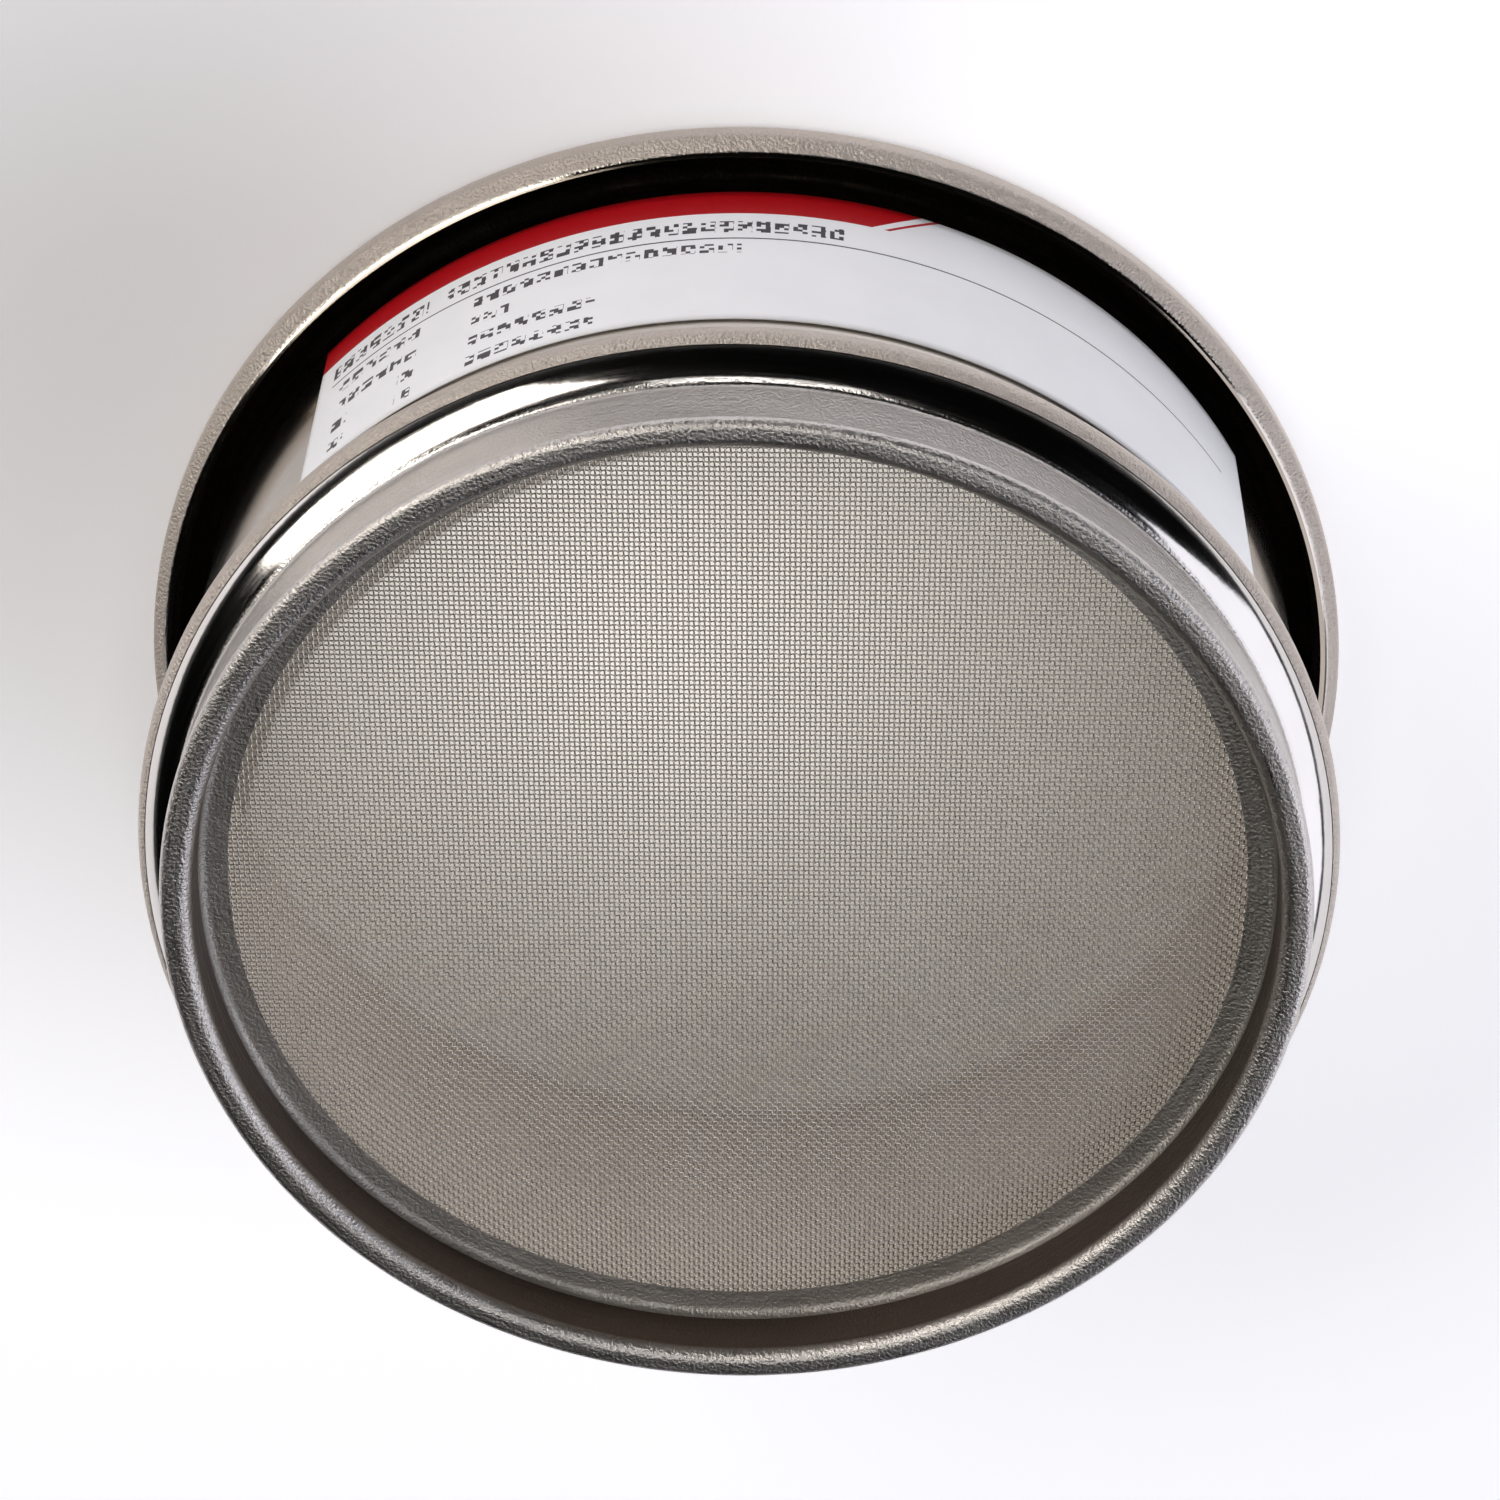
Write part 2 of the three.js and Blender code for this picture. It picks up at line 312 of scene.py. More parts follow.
def woven_tree():
    """One band of parallel wires that bend over and under the wires they cross, cut to a round."""
    tree, given = new_tree("woven wires", {
        "First wire": "NodeSocketInt",
        "Wires": "NodeSocketInt",
        "Pitch": "NodeSocketFloat",
        "Wire": "NodeSocketFloat",
        "Radius": "NodeSocketFloat",
        "Middle height": "NodeSocketFloat",
        "Over": "NodeSocketFloat",
        "Turn": "NodeSocketFloat",
        "Material": "NodeSocketMaterial",
    })
    pitch, wire, radius = given["Pitch"], given["Wire"], given["Radius"]
    start = node(tree, MATH, {0: given["First wire"], 1: pitch}, operation="MULTIPLY").outputs[0]
    across = node(tree, "GeometryNodeMeshLine", {
        "Count": given["Wires"],
        "Start Location": node(tree, "ShaderNodeCombineXYZ", {"X": start}).outputs[0],
        "Offset": node(tree, "ShaderNodeCombineXYZ", {"X": pitch}).outputs[0],
    })
    half = node(tree, MATH, {0: pitch, 1: 0.5}, operation="MULTIPLY").outputs[0]
    reach = node(tree, MATH, {
        0: node(tree, MATH, {0: radius, 1: half}, operation="DIVIDE").outputs[0],
    }, operation="FLOOR").outputs[0]
    along = node(tree, "GeometryNodeMeshLine", {
        "Count": node(tree, MATH, {0: reach, 1: 2, 2: 1}, operation="MULTIPLY_ADD").outputs[0],
        "Start Location": node(tree, "ShaderNodeCombineXYZ", {
            "Y": node(tree, MATH, {
                0: node(tree, MATH, {0: reach, 1: half}, operation="MULTIPLY").outputs[0],
                1: -1,
            }, operation="MULTIPLY").outputs[0],
        }).outputs[0],
        "Offset": node(tree, "ShaderNodeCombineXYZ", {"Y": half}).outputs[0],
    })
    laid = node(tree, "GeometryNodeInstanceOnPoints", {
        "Points": across.outputs[0],
        "Instance": along.outputs[0],
    })
    lines = node(tree, "GeometryNodeRealizeInstances", {0: laid.outputs[0]})
    place = node(tree, "GeometryNodeInputPosition").outputs[0]
    flat = node(tree, "ShaderNodeSeparateXYZ", {0: place}).outputs
    outside = node(tree, "FunctionNodeCompare", {
        0: node(tree, "ShaderNodeVectorMath", {0: place}, operation="LENGTH").outputs["Value"],
        1: radius,
    }, operation="GREATER_THAN")
    cut = node(tree, "GeometryNodeDeleteGeometry", {
        "Geometry": lines.outputs[0],
        "Selection": outside.outputs[0],
    })
    crossing = node(tree, MATH, {
        0: node(tree, MATH, {0: flat["X"], 1: flat["Y"]}, operation="ADD").outputs[0],
        1: pitch,
    }, operation="DIVIDE").outputs[0]
    wave = node(tree, MATH, {
        0: node(tree, MATH, {0: crossing, 1: math.pi}, operation="MULTIPLY").outputs[0],
    }, operation="COSINE").outputs[0]
    swing = node(tree, MATH, {
        0: given["Over"],
        1: node(tree, MATH, {0: wire, 1: 0.5}, operation="MULTIPLY").outputs[0],
    }, operation="MULTIPLY").outputs[0]
    height = node(tree, MATH, {
        0: wave,
        1: swing,
        2: given["Middle height"],
    }, operation="MULTIPLY_ADD").outputs[0]
    seat = node(tree, "ShaderNodeCombineXYZ", {"X": flat["X"], "Y": flat["Y"], "Z": height}).outputs[0]
    waved = node(tree, "GeometryNodeSetPosition", {"Geometry": cut.outputs[0], "Position": seat})
    spines = node(tree, "GeometryNodeMeshToCurve", {0: waved.outputs[0]})
    upright = node(tree, "GeometryNodeSetCurveNormal", {0: spines.outputs[0]}, mode="Z_UP")
    ring = node(tree, "GeometryNodeCurvePrimitiveCircle", {
        "Resolution": 4,
        "Radius": node(tree, MATH, {0: wire, 1: 0.5}, operation="MULTIPLY").outputs[0],
    })
    drawn = node(tree, "GeometryNodeCurveToMesh", {
        "Curve": upright.outputs[0],
        "Profile Curve": ring.outputs[0],
        "Fill Caps": True,
    })
    turned = node(tree, "GeometryNodeTransform", {
        "Geometry": drawn.outputs[0],
        "Rotation": node(tree, "ShaderNodeCombineXYZ", {"Z": given["Turn"]}).outputs[0],
    })
    smooth = node(tree, "GeometryNodeSetShadeSmooth", {"Geometry": turned.outputs[0]})
    close_tree(tree, smooth.outputs[0], given["Material"])
    return tree


def wrapped_tree():
    """A flat strip wrapped round the Z axis, with its own millimetres as its print map."""
    tree, given = new_tree("wrapped strip", {
        "Radius": "NodeSocketFloat",
        "Width": "NodeSocketFloat",
        "Height": "NodeSocketFloat",
        "Foot": "NodeSocketFloat",
        "Middle": "NodeSocketFloat",
        "Material": "NodeSocketMaterial",
    })
    grid = node(tree, "GeometryNodeMeshGrid", {
        "Size X": given["Width"],
        "Size Y": given["Height"],
        "Vertices X": 193,
        "Vertices Y": 25,
    })
    flat = node(tree, "ShaderNodeSeparateXYZ", {
        0: node(tree, "GeometryNodeInputPosition").outputs[0],
    }).outputs
    around = node(tree, MATH, {0: given["Width"], 1: 0.5, 2: flat["X"]}, operation="MULTIPLY_ADD").outputs[0]
    up = node(tree, MATH, {0: given["Height"], 1: 0.5, 2: flat["Y"]}, operation="MULTIPLY_ADD").outputs[0]
    sheet_place = node(tree, "ShaderNodeCombineXYZ", {
        "X": node(tree, MATH, {0: around, 1: MM}, operation="DIVIDE").outputs[0],
        "Y": node(tree, MATH, {0: up, 1: MM}, operation="DIVIDE").outputs[0],
    })
    mapped = node(tree, "GeometryNodeStoreNamedAttribute", {
        "Geometry": grid.outputs["Mesh"],
        "Name": "UVMap",
        "Value": sheet_place.outputs[0],
    }, data_type="FLOAT2", domain="CORNER")
    angle = node(tree, MATH, {
        0: node(tree, MATH, {0: flat["X"], 1: given["Radius"]}, operation="DIVIDE").outputs[0],
        1: given["Middle"],
    }, operation="ADD").outputs[0]
    seat = node(tree, "ShaderNodeCombineXYZ", {
        "X": node(tree, MATH, {
            0: given["Radius"],
            1: node(tree, MATH, {0: angle}, operation="COSINE").outputs[0],
        }, operation="MULTIPLY").outputs[0],
        "Y": node(tree, MATH, {
            0: given["Radius"],
            1: node(tree, MATH, {0: angle}, operation="SINE").outputs[0],
        }, operation="MULTIPLY").outputs[0],
        "Z": node(tree, MATH, {0: up, 1: given["Foot"]}, operation="ADD").outputs[0],
    })
    bent = node(tree, "GeometryNodeSetPosition", {
        "Geometry": mapped.outputs[0],
        "Position": seat.outputs[0],
    })
    smooth = node(tree, "GeometryNodeSetShadeSmooth", {"Geometry": bent.outputs[0]})
    close_tree(tree, smooth.outputs[0], given["Material"])
    return tree


def grow(name, mesh, tree, values, thickness=0):
    """A plain mesh piece made by a geometry tree from a starting mesh."""
    source = bpy.data.objects.new(name + "_source", mesh)
    bpy.context.collection.objects.link(source)
    modifier = source.modifiers.new("shape", "NODES")
    modifier.node_group = tree
    for item in tree.interface.items_tree:
        if item.in_out == "INPUT" and item.name in values:
            modifier[item.identifier] = values[item.name]
    if thickness:
        solid = source.modifiers.new("thickness", "SOLIDIFY")
        solid.thickness = thickness
        solid.offset = 1
    graph = bpy.context.evaluated_depsgraph_get()
    plain = bpy.data.meshes.new_from_object(source.evaluated_get(graph), depsgraph=graph)
    bpy.data.objects.remove(source)
    plain.name = name
    piece = bpy.data.objects.new(name, plain)
    bpy.context.collection.objects.link(piece)
    return piece


def outline_mesh(name, outline):
    """The points of an outline in metres, with the length along it, in millimetres, as their Y."""
    length, points = 0.0, []
    for i, here in enumerate(outline):
        length += (here - outline[i - 1]).length if i else 0
        points.append((here.x * MM, length, here.y * MM))
    mesh = bpy.data.meshes.new(name)
    mesh.from_pydata(points, [], [])
    return mesh


# ---------------------------------------------------------------- materials

def new_material(name):
    """A node material with a Principled shader, and the shader's tree and inputs."""
    material = bpy.data.materials.new(name)
    material.use_nodes = True
    return material, material.node_tree, material.node_tree.nodes["Principled BSDF"].inputs


def spun_place(tree, around, along):
    """A place that runs slowly round a turned piece and fast along its section, in millimetres."""
    place = node(tree, "ShaderNodeTexCoord").outputs["Object"]
    level = node(tree, "ShaderNodeVectorMath", {0: place, 1: (1, 1, 0)}, operation="MULTIPLY")
    way = node(tree, "ShaderNodeVectorMath", {0: level.outputs[0]}, operation="NORMALIZE")
    wide = node(tree, "ShaderNodeVectorMath", {0: way.outputs[0], "Scale": around}, operation="SCALE")
    section = node(tree, "ShaderNodeSeparateXYZ", {
        0: node(tree, "ShaderNodeUVMap", uv_map="UVMap").outputs[0],
    })
    rise = node(tree, "ShaderNodeCombineXYZ", {
        "Z": node(tree, MATH, {0: section.outputs["Y"], 1: along}, operation="MULTIPLY").outputs[0],
    })
    return node(tree, "ShaderNodeVectorMath", {0: wide.outputs[0], 1: rise.outputs[0]}).outputs[0]


def round_place(tree):
    """The distance from the axis and the height above the foot, in millimetres."""
    place = node(tree, "ShaderNodeTexCoord").outputs["Object"]
    level = node(tree, "ShaderNodeVectorMath", {0: place, 1: (1, 1, 0)}, operation="MULTIPLY")
    out = node(tree, "ShaderNodeVectorMath", {0: level.outputs[0]}, operation="LENGTH").outputs["Value"]
    high = node(tree, "ShaderNodeSeparateXYZ", {0: place}).outputs["Z"]
    return node(tree, MATH, {0: out, 1: MM}, operation="DIVIDE").outputs[0], node(tree, MATH, {
        0: high,
        1: MM,
    }, operation="DIVIDE").outputs[0]


def rim_and_bead(tree):
    """The rim's outside and the bead, left satin by the rollers that formed them."""
    out, high = round_place(tree)
    formed = node(tree, MATH, {
        0: node(tree, "ShaderNodeMapRange", {
            "Value": out,
            "From Min": SATIN_RIM[0],
            "From Max": SATIN_RIM[1],
        }).outputs[0],
        1: node(tree, "ShaderNodeMapRange", {
            "Value": high,
            "From Min": SATIN_BEAD[0],
            "From Max": SATIN_BEAD[1],
        }).outputs[0],
    }, operation="MAXIMUM").outputs[0]
    return node(tree, MATH, {
        0: formed,
        1: node(tree, MATH, {0: out, 1: WALL - SHEET / 2}, operation="GREATER_THAN").outputs[0],
    }, operation="MULTIPLY").outputs[0]


def roll_hollow_painted_shade(tree):
    """The face of the sheet hidden inside the roll, painted near-black as the shade in the roll's hollow."""
    section = node(tree, "ShaderNodeSeparateXYZ", {
        0: node(tree, "ShaderNodeUVMap", uv_map="UVMap").outputs[0],
    })
    past = node(tree, MATH, {0: section.outputs["Y"], 1: ROLL_START}, operation="GREATER_THAN").outputs[0]
    return node(tree, MATH, {
        0: past,
        1: node(tree, MATH, {0: section.outputs["Y"], 1: ROLL_END}, operation="LESS_THAN").outputs[0],
    }, operation="MULTIPLY").outputs[0]


def bowl_inside(tree):
    """The wall inside the bowl, as the sheet mill left it."""
    out, _ = round_place(tree)
    return node(tree, "ShaderNodeMapRange", {
        "Value": out,
        "From Min": MILL_FINISH[0],
        "From Max": MILL_FINISH[1],
    }).outputs[0]


def below_shoulder(tree):
    """The skirt's wall and lip, which were brushed and not buffed."""
    _, high = round_place(tree)
    return node(tree, "ShaderNodeMapRange", {
        "Value": high,
        "From Min": BRUSHED[0],
        "From Max": BRUSHED[1],
    }).outputs[0]


def upstand_inside(tree):
    """The upstand's inner face, browned by the heat of soldering."""
    out, high = round_place(tree)
    near = node(tree, "ShaderNodeMapRange", {
        "Value": out,
        "From Min": BROWNED_RADIUS[0],
        "From Max": BROWNED_RADIUS[1],
    }).outputs[0]
    return node(tree, MATH, {
        0: near,
        1: node(tree, "ShaderNodeMapRange", {
            "Value": high,
            "From Min": BROWNED_HEIGHT[0],
            "From Max": BROWNED_HEIGHT[1],
        }).outputs[0],
    }, operation="MULTIPLY").outputs[0]


def steel(name, tint, bright, lines, grain, ripple=0.0, zones=()):
    """Spun stainless steel.

    Turning on a lathe leaves fine rings, so the gloss changes along the section and hardly round the piece.
    Each zone has a colour, a roughness and a share of the grain of its own.
    """
    material, tree, shader = new_material(name)
    rings = node(tree, "ShaderNodeTexNoise", {
        "Vector": spun_place(tree, 6, 4),
        "Scale": 1.0,
        "Detail": 4.0,
        "Roughness": 0.6,
    }).outputs[0]
    place = node(tree, "ShaderNodeTexCoord").outputs["Object"]
    grains, ripples, stains = (
        node(tree, "ShaderNodeTexNoise", {
            "Vector": place,
            "Scale": 1 / (size * MM),
            "Detail": 3.0,
        }).outputs[0]
        for size in (GRAIN, RIPPLE, STAIN)
    )
    colour = node(tree, "ShaderNodeMix", {
        "Factor": stains,
        "A": linear(tint[0]),
        "B": linear(tint[1]),
    }, data_type="RGBA").outputs["Result"]
    rough, pitted = bright, 0.015 if zones else 1.0
    for zone, tint_or_painted_shade, dull, pits in zones:
        # A zone's colour is a real tint, or painted shade where the zone is the roll's hollow.
        share = zone(tree)
        if tint_or_painted_shade:
            colour = node(tree, "ShaderNodeMix", {
                "Factor": share,
                "A": colour,
                "B": linear(tint_or_painted_shade),
            }, data_type="RGBA").outputs["Result"]
        rough, pitted = (
            node(tree, "ShaderNodeMix", {
                "Factor": share,
                "A": was,
                "B": now,
            }, data_type="FLOAT").outputs["Result"]
            for was, now in ((rough, dull), (pitted, pits))
        )
    tree.links.new(colour, shader["Base Color"])
    shader["Metallic"].default_value = 1.0
    gloss = node(tree, "ShaderNodeMapRange", {
        "Value": rings,
        "From Min": 0.35,
        "From Max": 0.65,
        "To Min": 0.75,
        "To Max": 1.25,
    }).outputs[0]
    tree.links.new(
        node(tree, MATH, {0: gloss, 1: rough}, operation="MULTIPLY").outputs[0],
        shader["Roughness"],
    )
    normal = None
    for height, depth, share in ((rings, lines, 1.0), (ripples, ripple, 1.0), (grains, grain, pitted)):
        if depth:
            sockets = {"Strength": share, "Distance": depth * MM, "Height": height}
            if normal:
                sockets["Normal"] = normal
            normal = node(tree, "ShaderNodeBump", sockets).outputs[0]
    tree.links.new(normal, shader["Normal"])
    return material


body_steel = steel("spun stainless steel body", ("#cfc9c1", "#bfb7ad"), 0.1, 0.002, 0.3, 0.004, zones=(
    (rim_and_bead, "#cbc1b8", 0.44, 1.0),
    # The roll's hidden face is painted near-black: painted shade in the hollow of the roll.
    (roll_hollow_painted_shade, "#2b2623", 0.6, 1.0),
    (bowl_inside, "#cbc4bd", 0.34, 0.06),
))
skirt_steel = steel("spun stainless steel skirt", ("#d9d5d1", "#cbc6c2"), 0.1, 0.003, 0.13, 0.012, zones=(
    (below_shoulder, "#cac5c1", 0.36, 1.0),
    (upstand_inside, "#5f544d", 0.4, 1.0),
))
ring_steel = steel("pressed stainless steel", ("#c8c4be", "#bab5ae"), 0.3, 0.002, 0.002)
solder = steel("dull tin solder", ("#b8b4af", "#97928d"), 0.5, 0.001, 0.15)


def wire_steel():
    """Drawn stainless wire: bright, slightly warm, with tones that drift over the cloth."""
    material, tree, shader = new_material("drawn stainless wire")
    drift = node(tree, "ShaderNodeTexNoise", {
        "Vector": node(tree, "ShaderNodeTexCoord").outputs["Object"],
        "Scale": 1 / (12 * MM),
        "Detail": 2.0,
    }).outputs[0]
    colours = node(tree, "ShaderNodeMix", {
        "Factor": drift,
        "A": linear("#e2ded9"),
        "B": linear("#d3cec7"),
    }, data_type="RGBA")
    tree.links.new(colours.outputs["Result"], shader["Base Color"])
    shader["Metallic"].default_value = 1.0
    shader["Roughness"].default_value = 0.26
    return material


def label_paper():
    """Coated label paper: a clean white with a slight sheen, printed with a red band and thin rules."""
    material, tree, shader = new_material("coated label paper")
    sheet_place = node(tree, "ShaderNodeUVMap", uv_map="UVMap").outputs[0]
    at = node(tree, "ShaderNodeSeparateXYZ", {0: sheet_place}).outputs
    u, v = at["X"], at["Y"]

    def box(left, right, low, high):
        """One inside a box on the label, in millimetres from its lower left corner."""
        inside = node(tree, MATH, {
            0: node(tree, MATH, {0: u, 1: left}, operation="GREATER_THAN").outputs[0],
            1: node(tree, MATH, {0: u, 1: right}, operation="LESS_THAN").outputs[0],
        }, operation="MULTIPLY").outputs[0]
        level = node(tree, MATH, {
            0: node(tree, MATH, {0: v, 1: low}, operation="GREATER_THAN").outputs[0],
            1: node(tree, MATH, {0: v, 1: high}, operation="LESS_THAN").outputs[0],
        }, operation="MULTIPLY").outputs[0]
        return node(tree, MATH, {0: inside, 1: level}, operation="MULTIPLY").outputs[0]

    def either(*marks):
        """One inside any of the marks."""
        total = marks[0]
        for mark in marks[1:]:
            total = node(tree, MATH, {0: total, 1: mark}, operation="MAXIMUM").outputs[0]
        return total

    top = box(-1, LABEL_WIDTH, 20.3, 30)
    slant = node(tree, MATH, {0: v, 1: -1.05, 2: u}, operation="MULTIPLY_ADD").outputs[0]
    band = node(tree, MATH, {
        0: top,
        1: node(tree, MATH, {0: slant, 1: BAND_END}, operation="LESS_THAN").outputs[0],
    }, operation="MULTIPLY").outputs[0]
    past = node(tree, MATH, {0: slant, 1: BAND_END + 1.1}, operation="GREATER_THAN").outputs[0]
    slash = node(tree, MATH, {
        0: node(tree, MATH, {0: slant, 1: BAND_END + 1.6}, operation="LESS_THAN").outputs[0],
        1: past,
    }, operation="MULTIPLY").outputs[0]
    red = node(tree, MATH, {
        0: band,
        1: node(tree, MATH, {0: top, 1: slash}, operation="MULTIPLY").outputs[0],
    }, operation="MAXIMUM").outputs[0]

    # Random specks in even cells stand where the print is.
    speck = node(tree, "ShaderNodeTexWhiteNoise", {
        "Vector": node(tree, "ShaderNodeVectorMath", {
            0: node(tree, "ShaderNodeVectorMath", {
                0: sheet_place,
                1: PRINT_SPECK,
            }, operation="DIVIDE").outputs[0],
        }, operation="FLOOR").outputs[0],
    }, noise_dimensions="2D").outputs["Value"]
    cell = node(tree, MATH, {
        0: node(tree, MATH, {
            0: node(tree, MATH, {0: u, 1: PRINT_CELL}, operation="DIVIDE").outputs[0],
        }, operation="FRACT").outputs[0],
        1: 0.78,
    }, operation="LESS_THAN").outputs[0]
    inked = node(tree, MATH, {
        0: cell,
        1: node(tree, MATH, {0: speck, 1: 0.48}, operation="GREATER_THAN").outputs[0],
    }, operation="MULTIPLY").outputs[0]
    rows = either(
        box(2, 13, 16.5, 18.7),
        box(15, 51, 16.5, 18.7),
        box(3, 12.8, 12.5, 14.2),
        box(18, 42, 12.5, 14.2),
        box(3, 12.8, 8.8, 10.5),
        box(18, 21.6, 8.8, 10.5),
        box(3, 5, 5.1, 6.8),
        box(10.8, 12.8, 5.1, 6.8),
        box(18, 29.6, 5.1, 6.8),
        box(3, 5, 1.4, 3.1),
        box(10.8, 12.8, 1.4, 3.1),
        box(18, 29.6, 1.4, 3.1),
    )
    rule = box(2, 92, 15.2, 15.42)
    dark = either(rule, node(tree, MATH, {0: rows, 1: inked}, operation="MULTIPLY").outputs[0])
    paper = node(tree, "ShaderNodeTexNoise", {
        "Vector": sheet_place,
        "Scale": 0.15,
        "Detail": 3.0,
    }).outputs[0]
    shade = paper
    for factor, colours in (
        (None, ("#f3f3f6", "#e9e9ed")),
        (red, (None, "#ab000e")),
        (dark, (None, "#3d3a3f")),
    ):
        first = linear(colours[0]) if colours[0] else shade
        shade = node(tree, "ShaderNodeMix", {
            "Factor": shade if factor is None else factor,
            "A": first,
            "B": linear(colours[1]),
        }, data_type="RGBA").outputs["Result"]
    tree.links.new(shade, shader["Base Color"])
    shader["Roughness"].default_value = 0.42
    shader["Specular IOR Level"].default_value = 0.3
    return material


# ---------------------------------------------------------------- pieces

turned = turned_tree()


def turn(name, outline, steps, material, stands_for):
    """A turned piece in place of a CAD node."""
    piece = grow(name, outline_mesh(name + "_outline", outline), turned, {
        "Rows": len(outline),
        "Steps": steps,
        "Sharp angle": math.radians(28),
        "Material": material,
    })
    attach(piece, "root")
    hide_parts(stands_for)
    return piece


turn("spun_body", sheet_outline(body_face, SHEET), 480, body_steel, "body_shell")
turn("nesting_skirt", skirt_outline(), 480, skirt_steel, "skirt_ring")
turn("solder_fillet", solder_outline(), 480, solder, "solder_seam")
turn("cloth_ring", ring_outline(), 360, ring_steel, "retaining_ring")

drawn_wire = wire_steel()
weave = woven_tree()
wires_out = math.floor((UPSTAND - 0.1) / PITCH)
half_out = round(wires_out * 0.404)
bands = [(-wires_out, -half_out), (-half_out, 0), (0, half_out), (half_out, wires_out + 1)]
for way, over, turn_by in (("warp", 1, 0), ("weft", -1, QUARTER)):
    for i, (first, end) in enumerate(bands):
        wires = grow(f"cloth_{way}_{i + 1}", bpy.data.meshes.new("empty"), weave, {
            "First wire": first,
            "Wires": end - first,
            "Pitch": PITCH * MM,
            "Wire": WIRE * MM,
            "Radius": (UPSTAND - 0.1) * MM,
            "Middle height": (CLOTH_FOOT + CLOTH_TOP) / 2 * MM,
            "Over": float(over),
            "Turn": WEAVE_TURN + turn_by,
            "Material": drawn_wire,
        })
        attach(wires, "root")
        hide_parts("wire_cloth")

label = grow("paper_label", bpy.data.meshes.new("empty"), wrapped_tree(), {
    "Radius": (WALL + 0.1) * MM,
    "Width": LABEL_WIDTH * MM,
    "Height": (label_high.z - label_low.z) * MM,
    "Foot": label_low.z * MM,
    "Middle": LABEL_TURN - QUARTER,
    "Material": label_paper(),
}, thickness=0.15 * MM)
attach(label, "root")
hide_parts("label")


# ---------------------------------------------------------------- studio

def disc(name, radius, height, up, colour, fade, glow, hole=0.0, painted_spot=None, rim=None):
    """A one-sided round of pale table, which fades out towards its edge and is clear from behind.

    A painted spot (middle, reach, glow) is where the table's glow differs, painting a shadow or a pool of
    light on it, and it blends into the rest over its reach. A rim (middle, reach) is where that painted glow
    ends.
    """
    material, tree, shader = new_material(name)
    shader["Base Color"].default_value = linear(colour)
    shader["Roughness"].default_value = 0.9
    shader["Emission Color"].default_value = linear(colour)
    shader["Emission Strength"].default_value = glow
    place = node(tree, "ShaderNodeTexCoord").outputs["Object"]
    level = node(tree, "ShaderNodeVectorMath", {0: place, 1: (1, 1, 0)}, operation="MULTIPLY").outputs[0]
    out = node(tree, "ShaderNodeVectorMath", {0: level}, operation="LENGTH")
    edge = node(tree, "ShaderNodeMapRange", {
        "Value": out.outputs["Value"],
        "From Min": radius * fade,
        "From Max": radius,
    }, interpolation_type="SMOOTHSTEP")
    # The spot's glow is painted light or painted shade, not light cast by the lamps.
    if painted_spot:
        middle, reach, there = painted_spot
        strength = node(tree, "ShaderNodeMapRange", {
            "Value": node(tree, "ShaderNodeVectorMath", {
                0: level,
                1: middle,
            }, operation="DISTANCE").outputs["Value"],
            "From Max": reach,
            "To Min": there,
            "To Max": glow,
        }, interpolation_type="SMOOTHSTEP").outputs[0]
        if rim:
            middle, reach = rim
            off = node(tree, "ShaderNodeVectorMath", {
                0: level,
                1: middle,
            }, operation="DISTANCE").outputs["Value"]
            inside = node(tree, "ShaderNodeMapRange", {
                "Value": off,
                "From Min": reach,
                "From Max": reach - 0.0006,
            })
            strength = node(tree, MATH, {0: strength, 1: inside.outputs[0]}, operation="MULTIPLY").outputs[0]
        tree.links.new(strength, shader["Emission Strength"])
    behind = node(tree, "ShaderNodeNewGeometry").outputs["Backfacing"]
    clear = node(tree, "ShaderNodeMixShader", {
        0: node(tree, MATH, {0: edge.outputs[0], 1: behind}, operation="MAXIMUM").outputs[0],
        1: tree.nodes["Principled BSDF"].outputs[0],
        2: node(tree, "ShaderNodeBsdfTransparent").outputs[0],
    })
    tree.links.new(clear.outputs[0], tree.nodes["Material Output"].inputs["Surface"])
    turns = [2 * math.pi * i / 192 for i in range(192)]
    points = [(r * math.cos(a), r * math.sin(a), height) for r in (radius, hole) for a in turns]
    faces = [(i, (i + 1) % 192, (i + 1) % 192 + 192, i + 192) for i in range(192)]
    mesh = bpy.data.meshes.new(name)
    mesh.from_pydata(points, [], faces if up else [face[::-1] for face in faces])
    mesh.materials.append(material)
    made = bpy.data.objects.new(name, mesh)
    bpy.context.collection.objects.link(made)
    return made


bench = HEIGHT * MM + 0.00002
mouth = (RIM - RIM_ROUND) * MM
# The spot is a painted shadow: the table's glow drops there to paint the soft shade beside the sieve.
shade = (-0.047, -0.035, 0), 0.118, 0.02
table = disc("table", 0.9, bench, False, "#f8f8fc", 0.6, 0.50, mouth, painted_spot=shade)
# The glow is painted light: a pool of light painted on the table, standing for light that comes through the
# cloth from just above and left of the camera.
painted_light_pool, painted_light_edge = ((-0.010, -0.004, 0), 0.060, 0.9), ((0.0020, 0.0270, 0), 0.0510)
table_with_painted_light = disc("table under the bowl", mouth, bench, False, "#fff9f2", 1.0, 0.06, painted_spot=painted_light_pool, rim=painted_light_edge)
for part in (table, table_with_painted_light):
    part.visible_shadow = False
floor = disc("floor", 0.9, -0.00002, True, "#e9e9ec", 0.5, 0.35)
floor.visible_shadow = False
floor.visible_glossy = False
floor.visible_diffuse = False


def lamp(name, place, size, power, colour):
    """A soft square lamp that faces the sieve and isn't seen itself."""
    data = bpy.data.lights.new(name, "AREA")
    data.shape = "RECTANGLE"
    data.size, data.size_y = size
    data.energy = power
    data.color = linear(colour)[:3]
    made = bpy.data.objects.new(name, data)
    bpy.context.collection.objects.link(made)
    made.location = place
    made.rotation_mode = "QUATERNION"
    made.rotation_quaternion = (-Vector(place)).to_track_quat("-Z", "Y")
    made.visible_camera = False
    return made


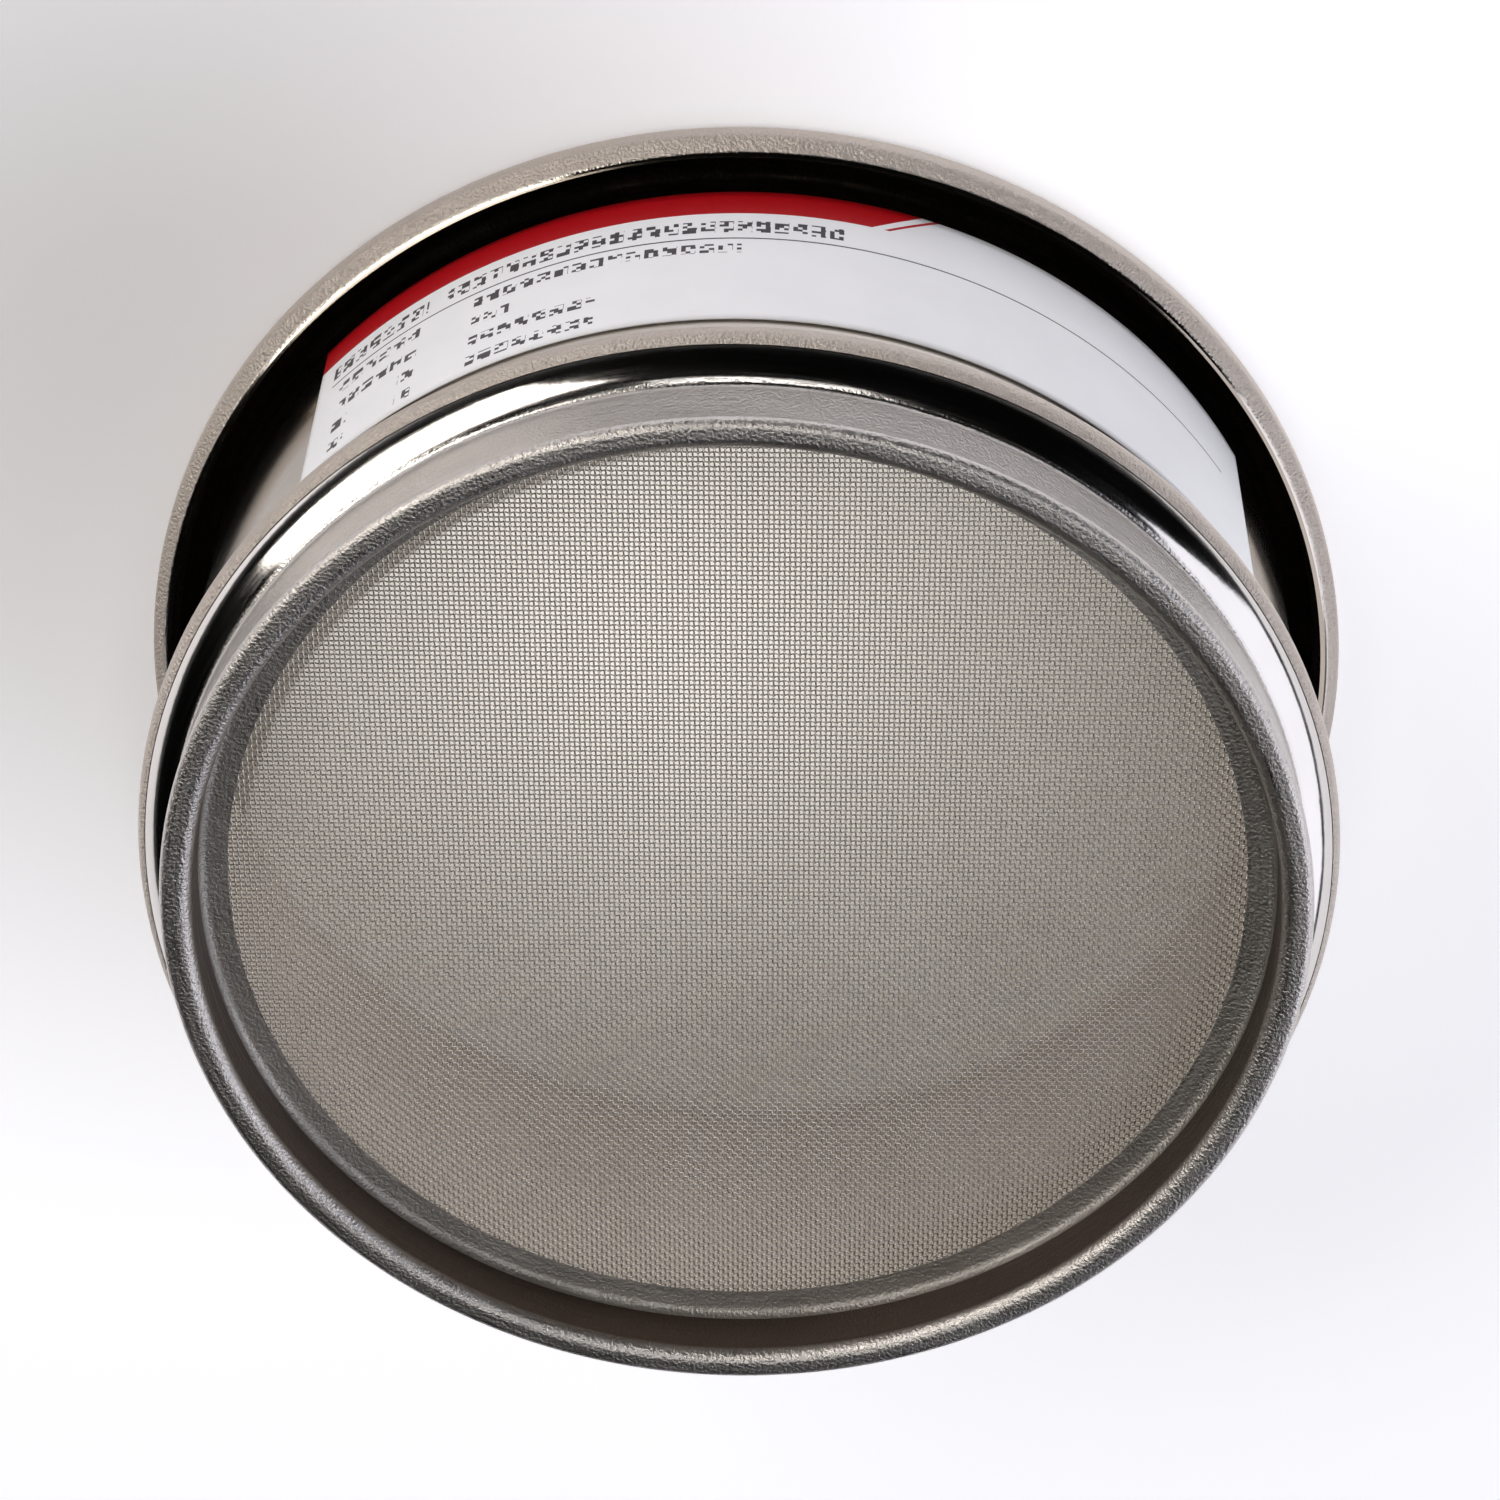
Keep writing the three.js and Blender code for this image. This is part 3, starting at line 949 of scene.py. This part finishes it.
lamp("left softbox", (-0.50, -0.33, -0.38), (0.6, 0.45), 2.7, "#fffaf4")
lamp("right softbox", (0.62, 0.22, -0.33), (0.85, 0.65), 2.8, "#f2f4ff")
lamp("overhead softbox", (0.0, -0.2, -0.75), (0.3, 0.42), 1.3, "#fffdfa")
front = lamp("front softbox", (0.0, -0.8, -0.07), (0.7, 0.12), 1.0, "#ffffff")
# It is kept out of glossy reflections: the polished steel would show it as a hard white line.
front.visible_glossy = False
lamp("upper left", (-0.4, 0.5, 0.7), (0.5, 0.5), 2, "#ffffff")
lamp("upper right", (0.5, 0.4, 0.7), (0.4, 0.4), 1.5, "#ffffff")

bpy.context.scene.view_settings.view_transform = "Standard"

world = bpy.data.worlds.new("studio")
bpy.context.scene.world = world
world.use_nodes = True
sky = world.node_tree
way = node(sky, "ShaderNodeSeparateXYZ", {0: node(sky, "ShaderNodeTexCoord").outputs["Generated"]}).outputs
height_part = node(sky, "ShaderNodeMapRange", {
    "Value": way["Z"],
    "From Min": -0.1,
    "From Max": 0.3,
    "To Min": 0.0015,
    "To Max": 0.25,
})
back_part = node(sky, "ShaderNodeMapRange", {
    "Value": way["Y"],
    "From Min": 0.6,
    "From Max": 1.0,
    "To Max": 0.0175,
})
ambient = node(sky, MATH, {
    0: height_part.outputs[0],
    1: back_part.outputs[0],
}, operation="MAXIMUM").outputs[0]
seen = node(sky, "ShaderNodeLightPath").outputs["Is Camera Ray"]
light = node(sky, "ShaderNodeMix", {"Factor": seen, "A": ambient, "B": 0.9}, data_type="FLOAT")
sky.links.new(light.outputs[0], sky.nodes["Background"].inputs["Strength"])
sky.nodes["Background"].inputs["Color"].default_value = (1, 1, 1, 1)

camera_data = bpy.data.cameras.new("camera")
camera_data.lens = 106.7
camera_data.sensor_width = 36
camera_data.clip_start = 0.01
camera = bpy.data.objects.new("camera", camera_data)
bpy.context.collection.objects.link(camera)
tilt, roll = math.radians(57.9), math.radians(2)
ahead = Vector((0, math.cos(tilt), math.sin(tilt)))
level_up = Vector((0, -math.sin(tilt), math.cos(tilt)))
side = Vector((1, 0, 0)) * math.cos(roll) + level_up * math.sin(roll)
up = level_up * math.cos(roll) - Vector((1, 0, 0)) * math.sin(roll)
frame_turn = Matrix((side, up, -ahead)).transposed().to_4x4()
camera.matrix_world = Matrix.Translation(Vector((0.70, -218.0, -317.6)) * MM) @ frame_turn
bpy.context.scene.camera = camera
